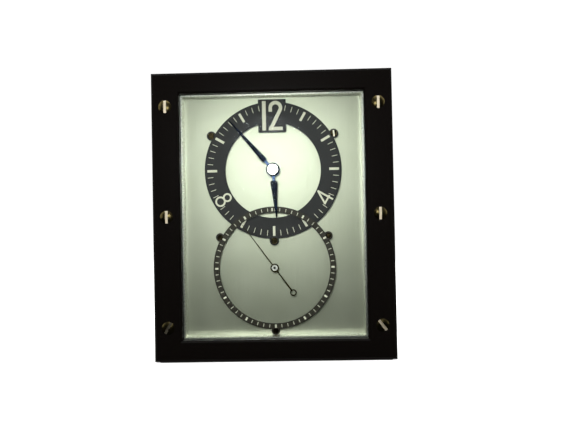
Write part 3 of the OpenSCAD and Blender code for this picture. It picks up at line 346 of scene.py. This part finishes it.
turning_pitch = 0.5 * MM
for ring_name, dark, light in (("hour_ring", "#101012", "#1c1c20"), ("seconds_ring", "#19160e", "#2a251a")):
    finish, tree, shader = start_finish("blackened_brass_" + ring_name, IOR=1.5, Specular_IOR_Level=0.4)
    lo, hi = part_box(ring_name)
    ring_r = (hi.x - lo.x) / 2
    ring_middle = Vector((0, 0, hi.z - ring_r if ring_name == "seconds_ring" else lo.z + ring_r))
    reach = from_middle(tree, ring_middle)
    turns = add(tree, "Math", {0: reach, 1: 1 / turning_pitch}, operation="MULTIPLY")
    turning = add(tree, "TexNoise", {"W": turns.outputs[0], "Scale": 1, "Detail": 3}, noise_dimensions="1D")
    follow(tree, shader, turning.outputs["Fac"], dark, light, (0.4, 0.5), 0.003)
    dress(finish, ring_name)


# The rings' screws are of the same browned brass as the frame's, and darker.
def at_ring_slots(tree, y):
    """1 on the slot floor of the upper right screw of the hour and seconds rings, where the painted highlight
    goes; the slots lie at two depths.
    """
    slot_d = 0.495 * MM
    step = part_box("hour_ring")[0].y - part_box("seconds_ring")[0].y
    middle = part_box("ring_screws")[0].y + slot_d + step / 2
    away = add(tree, "Math", {0: y, 1: middle}, operation="SUBTRACT").outputs[0]
    apart = add(tree, "Math", {0: away}, operation="ABSOLUTE").outputs[0]
    within = 0.03 * MM
    floor_here = add(tree, "Math", {0: apart, 1: step / 2, 2: within}, operation="COMPARE").outputs[0]
    # Only the screw at the upper right gets the painted slot highlight, a reflection of the lamp; the other
    # five keep the head's dark colour in their slots.
    hub_lo, hub_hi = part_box("hand_cap")
    hub_at = (hub_lo + hub_hi) / 2
    spot = add(tree, "SeparateXYZ", {0: add(tree, "TexCoord").outputs["Object"]})
    right = add(tree, "Math", {0: spot.outputs["X"], 1: hub_at.x}, operation="GREATER_THAN").outputs[0]
    upper = add(tree, "Math", {0: spot.outputs["Z"], 1: hub_at.z}, operation="GREATER_THAN").outputs[0]
    lamp_lit_slot = add(tree, "Math", {0: right, 1: upper}, operation="MULTIPLY").outputs[0]
    return add(tree, "Math", {0: floor_here, 1: lamp_lit_slot}, operation="MULTIPLY").outputs[0]


# f3ecdc is the painted highlight in the slot of the upper right ring screw.
screw_brass = slotted_brass("blackened_screw_brass", "#241f13", "#4b4330", "#f3ecdc", at_ring_slots)
dress(screw_brass, "ring_screws")


# Markings on the rings
# Numbers, batons and ticks of ivory enamel paint, laid thickly in a stencil so that they stand proud.
# Ivory enamel: pale cream with a slight unevenness from the brush.
ivory_enamel = grained(
    "ivory_enamel_paint", "#b3b2a0", "#cbc9b7", (0.8, 0.8, 0.8), (0.4, 0.5), 0.02, IOR=1.5
)
dress(ivory_enamel, "hour_markers", "seconds_markers")


# Hour and minute hands
# Blades filed from steel with a raised middle line, polished, and blued over a flame.
# Blued steel: blue-black, a mirror with a greyer tinge where it was hotter.
blued_steel = grained("flame_blued_steel", "#141a28", "#2c3a52", (6, 6, 12), (0.14, 0.22), Metallic=1)
dress(blued_steel, "hour_hand", "minute_hand")


# Caps of the hands
# The hands' cap is faced off and polished, and the seconds hand's boss is faced off and left satin.
# Both keep a dark edge.
def faced_off(name, node_name, middle, face_r, face_roughness, edge_dark, edge_light):
    """Bright steel within face_r millimetres of the middle, and another finish round it."""
    finish, tree, shader = start_finish(name, Metallic=1)
    place = add(tree, "TexCoord").outputs["Object"]
    haze = add(tree, "TexNoise", {"Vector": place, "Scale": 1 / (1.5 * MM), "Detail": 3}).outputs["Fac"]
    edge, roughness = follow(tree, shader, haze, edge_dark, edge_light, (0.35, 0.5))
    outside = add(tree, "Math", {0: from_middle(tree, middle), 1: face_r * MM}, operation="GREATER_THAN")
    bright = linear("#ecece6")
    split = add(tree, "Mix", {"Factor": outside.outputs[0], 6: bright, 7: edge}, data_type="RGBA")
    tree.links.new(split.outputs[2], shader.inputs["Base Color"])
    smooth = add(tree, "Mix", {"Factor": outside.outputs[0], 2: face_roughness, 3: roughness})
    tree.links.new(smooth.outputs[0], shader.inputs["Roughness"])
    dress(finish, node_name)


cap_lo, cap_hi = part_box("hand_cap")
hub = (cap_lo + cap_hi) / 2
cap_face_r = 4.4
polish_roughness = 0.16
faced_off("polished_cap_steel", "hand_cap", hub, cap_face_r, polish_roughness, "#030304", "#08090b")

# Browned bronze: a dark olive-brown blade and open ring, with a bright satin boss.
wheel_lo, wheel_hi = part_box("seconds_wheel")
seconds_middle = (wheel_lo + wheel_hi) / 2
boss_face_r = 2.55
boss_roughness = 0.42
faced_off("browned_bronze", "seconds_hand", seconds_middle, boss_face_r, boss_roughness, "#1d1a0d", "#453d24")


# Movement plates and cocks
# Plates and cocks sawn from hard brass, ground flat, and finished in straight stripes by a turning disc.
# Striped brass: bands 7 mm wide that change from light to dark as the grain turns.
striped_brass, tree, shader = start_finish("striped_plate_brass", Metallic=1)
stripe_w = 7 * MM
place = add(tree, "TexCoord").outputs["Object"]
stripe_slant = math.radians(30)
slanted = add(tree, "Mapping", {"Vector": place, "Rotation": (0, stripe_slant, 0)})
# A wave texture has 20 radians for each unit of its scale.
waves = {"Vector": slanted.outputs[0], "Scale": math.tau / 20 / stripe_w, "Distortion": 0.05}
stripes = add(tree, "TexWave", waves, bands_direction="X", wave_profile="SAW").outputs["Fac"]
follow(tree, shader, stripes, "#a98a4c", "#d0b073", (0.22, 0.34))
dress(striped_brass, "front_plate", "back_plate", "balance_cock", "pallet_cock")


# Pivot jewels
# Rings of synthetic ruby, burnished into the rear plate round the pivots of the going train.
# They sit just proud of the plate and are polished like glass.
jewel_data = bmesh.new()
plate_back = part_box("back_plate")[1].y
jewel_h = 0.3 * MM
jewel_steps = 32
# The radius of the hole in each wheel's jewel, and how far out its face starts and ends and its rim meets the
# plate, in millimetres.
jewel_pivots = {"intermediate_wheel": 2.2, "third_wheel": 1.7, "seconds_wheel": 1.4}
face_start, face_end, rim = 0.35, 1, 1.3
for wheel_name, bore in jewel_pivots.items():
    lo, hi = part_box(wheel_name)
    centre = Vector(((lo.x + hi.x) / 2, plate_back, (lo.z + hi.z) / 2))
    proud = jewel_h / MM
    section = ((bore, 0), (bore + face_start, proud), (bore + face_end, proud), (bore + rim, 0))
    rings = []
    for i in range(jewel_steps):
        a = math.tau * i / jewel_steps
        out = Vector((math.cos(a), 0, math.sin(a)))
        points = [centre + out * r * MM + Vector((0, h * MM, 0)) for r, h in section]
        rings.append([jewel_data.verts.new(point) for point in points])
    for i in range(jewel_steps):
        near, far = rings[i], rings[(i + 1) % jewel_steps]
        for k in range(len(section)):
            j = (k + 1) % len(section)
            jewel_data.faces.new((near[k], near[j], far[j], far[k]))
bmesh.ops.recalc_face_normals(jewel_data, faces=jewel_data.faces)
jewel_mesh = bpy.data.meshes.new("pivot_jewels")
jewel_data.to_mesh(jewel_mesh)
jewel_data.free()
jewel_mesh.shade_smooth()
jewels = bpy.data.objects.new("pivot_jewels", jewel_mesh)
bpy.context.scene.collection.objects.link(jewels)
# Synthetic ruby: clear deep pink-red, darker in its thickness.
ruby = grained(
    "synthetic_ruby", "#6e0a25", "#a8183c", (0.8, 0.8, 0.8), (0.06, 0.1), IOR=1.76, Transmission_Weight=0.25
)
jewel_mesh.materials.append(ruby)
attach(jewels, "case")


# Wheels, barrel and washers
# Wheels crossed out and cut from brass sheet, with pinions; the barrel is turned, with its teeth cut last.
# Circularly grained brass: yellow, with a soft sheen that follows the grain.
grained_brass = grained(
    "grained_wheel_brass", "#b08d48", "#d4b26c", (0.6, 0.6, 0.6), (0.24, 0.38), 0.01, Metallic=1
)
dress(
    grained_brass, "barrel_drum", "barrel_cap", "intermediate_wheel", "centre_wheel", "third_wheel",
    "escape_wheel", "hour_wheel", "hour_washer", "minute_wheel", "minute_wheel_washer",
)

# The seconds wheel is brass too, on a steel arbor 2.4 mm thick.
# The arbor's polished end shows in the seconds hand's boss.
arbor_face_r = 1.25
faced_off(
    "brass_on_steel_arbor", "seconds_wheel", seconds_middle, arbor_face_r, polish_roughness,
    "#b08d48", "#d4b26c",
)


# Springs and balance
# The mainspring and click spring are hardened strip, the hairspring is blued, and the balance is gilt brass.
# Spring steel: smooth grey-blue from tempering.
tempered_steel = grained("tempered_spring_steel", "#5d6470", "#868b93", (2, 2, 2), (0.22, 0.34), Metallic=1)
dress(tempered_steel, "mainspring", "click_spring")
dress(blued_steel, "hairspring")

# Gilt balance: a clean bright gold with lathe marks.
gilt_balance = grained(
    "gilt_balance_brass", "#cda04a", "#edc877", (1.5, 0.2, 1.5), (0.14, 0.24), Metallic=1
)
dress(gilt_balance, "balance_wheel")


# Studio
# A plain pale floor under a pale sky, lit by a soft lamp beside the camera and large soft boxes around.
# The floor isn't mirrored in the clock, as if its front part were covered by a dark cloth.
floor_size = 4
floor_data = bmesh.new()
bmesh.ops.create_grid(floor_data, x_segments=8, y_segments=8, size=floor_size)
floor_mesh = bpy.data.meshes.new("floor")
floor_data.to_mesh(floor_mesh)
floor_data.free()
floor = bpy.data.objects.new("floor", floor_mesh)
floor.location.z = cad_box[0].z
bpy.context.scene.collection.objects.link(floor)
floor.visible_glossy = False
pale_paper = grained(
    "pale_paper", "#f3f3f2", "#f6f6f5", (3, 3, 3), (0.88, 0.92),
    Emission_Strength=0.62, Emission_Color=linear("#ffffff"),
)
floor_mesh.materials.append(pale_paper)

sky = bpy.data.worlds.new("studio")
bpy.context.scene.world = sky
sky.use_nodes = True
tree = sky.node_tree
tree.nodes.clear()
# In front the sky is dark to a little above the horizon and pale overhead, as in a room lit from its ceiling.
# Behind the clock stands a lit wall, which the brass plates and wheels of the movement mirror.
away = add(tree, "SeparateXYZ", {0: add(tree, "TexCoord").outputs["Generated"]})
sky_light = 0.75
ceiling_span = {"From Min": 0.2, "From Max": 0.9, "To Min": 0.02, "To Max": sky_light}
ceiling = add(tree, "MapRange", {"Value": away.outputs["Z"], **ceiling_span})
wall_span = {"From Min": 0.05, "From Max": 0.6, "To Max": sky_light}
wall = add(tree, "MapRange", {"Value": away.outputs["Y"], **wall_span})
rise = add(tree, "Math", {0: ceiling.outputs[0], 1: wall.outputs[0]}, operation="MAXIMUM")
seen = add(tree, "LightPath")
pale = add(tree, "Background", {"Color": (1, 1, 1, 1), "Strength": 1.05})
dome = add(tree, "Background", {"Color": (1, 1, 1, 1), "Strength": rise.outputs[0]})
both = add(tree, "MixShader", {0: seen.outputs["Is Camera Ray"], 1: dome.outputs[0], 2: pale.outputs[0]})
add(tree, "OutputWorld", {"Surface": both.outputs[0]})

aim = (cad_box[0] + cad_box[1]) / 2


def soft_box(name, place, width, height, watts, target=aim):
    """A soft rectangular lamp that faces the target."""
    lamp = bpy.data.lights.new(name, "AREA")
    lamp.shape = "RECTANGLE"
    lamp.size, lamp.size_y, lamp.energy = width, height, watts
    holder = bpy.data.objects.new(name, lamp)
    holder.location = place
    holder.rotation_mode = "QUATERNION"
    holder.rotation_quaternion = (Vector(target) - Vector(place)).to_track_quat("-Z", "Y")
    bpy.context.scene.collection.objects.link(holder)
    return holder


lamp_by_camera = soft_box("lamp_by_camera", (-0.03, -0.66, 0.235), 0.15, 0.15, 0.78)
lamp_by_camera.data.shape = "DISK"
soft_box("box_above", (0, -0.7, 1.25), 1.2, 0.8, 10)
soft_box("box_left", (-1.1, -0.75, 0.6), 0.7, 1.1, 5)
soft_box("box_right", (1.1, -0.75, 0.6), 0.7, 1.1, 5)
soft_box("box_behind", (0.3, 1.3, 0.8), 1.4, 0.9, 16)


# Camera
# It stands a little right of the clock's middle, just below its mid height, and looks slightly up.
camera_data = bpy.data.cameras.new("camera")
camera_data.lens = 43.6
camera_data.sensor_width = 36
camera = bpy.data.objects.new("camera", camera_data)
yaw, pitch, roll = (math.radians(a) for a in (1.723, 1.071, -1.096))
forward = Vector((-math.sin(yaw) * math.cos(pitch), math.cos(yaw) * math.cos(pitch), math.sin(pitch)))
level_right = forward.cross(Vector((0, 0, 1))).normalized()
level_up = level_right.cross(forward)
right = level_right * math.cos(roll) + level_up * math.sin(roll)
up = level_up * math.cos(roll) - level_right * math.sin(roll)
stand = Vector((0.02649, -0.62257, 0.11568))
camera.matrix_world = Matrix.Translation(stand) @ Matrix((right, up, -forward)).transposed().to_4x4()
bpy.context.scene.collection.objects.link(camera)
bpy.context.scene.camera = camera
bpy.context.scene.view_settings.view_transform = "Standard"
